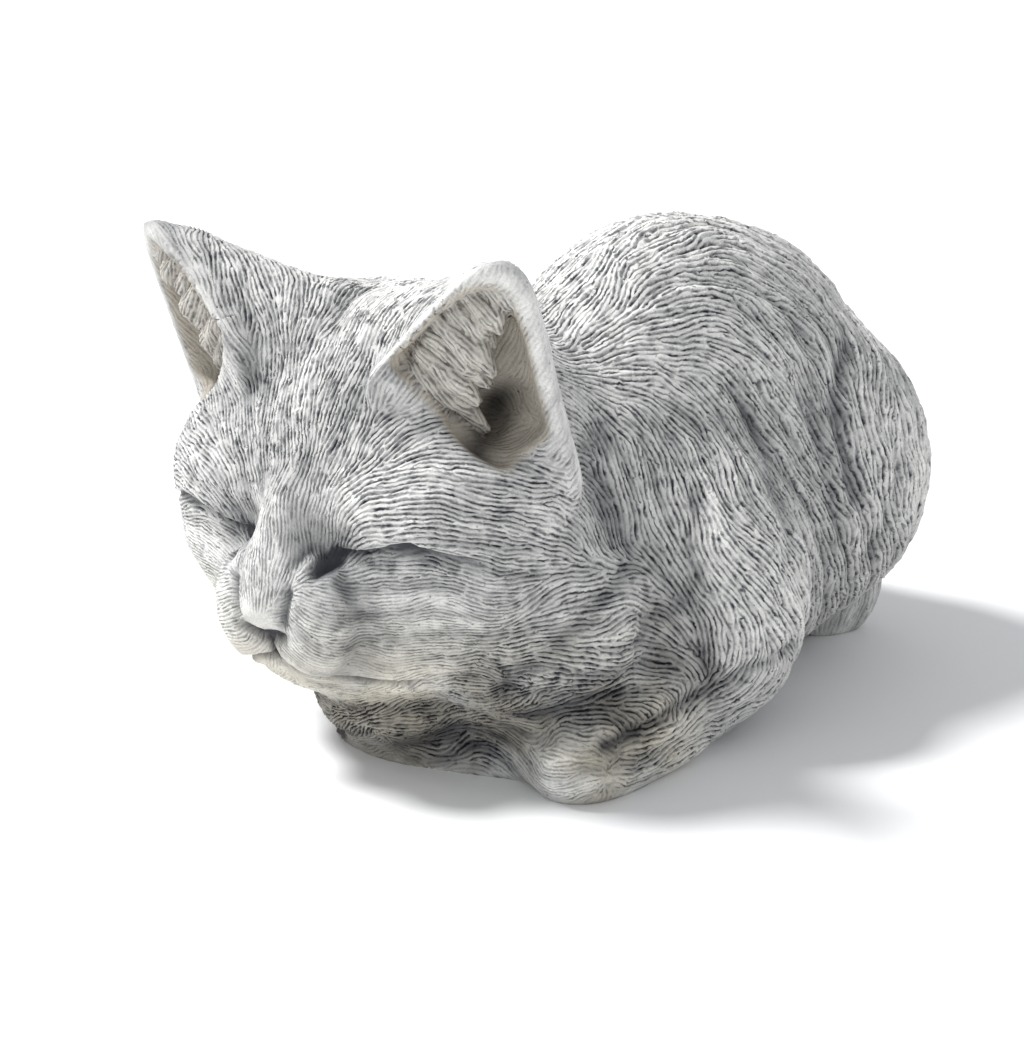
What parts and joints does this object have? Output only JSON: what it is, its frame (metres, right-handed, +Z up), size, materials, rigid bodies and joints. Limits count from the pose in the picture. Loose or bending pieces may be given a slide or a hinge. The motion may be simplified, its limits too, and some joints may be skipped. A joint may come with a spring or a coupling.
{
  "type": "concrete cat statue",
  "caption": "Sleeping cat cast in one block, lying with its chin low over its tucked paws, eyes closed, hollow ears up, fur carved all over, flat underside",
  "frame": {"origin": "middle of the underside of the object's bounding box", "axes": "+Z up, the cat lies along Y and faces -Y, its left side is +X"},
  "size_m": [0.1918, 0.2844, 0.1798],
  "materials": {
    "cat": "cast concrete with a dark wash left in the carving and rubbed off its ridges"
  },
  "bodies": {
    "root": {"cat": "cat"}
  },
  "joints": []
}
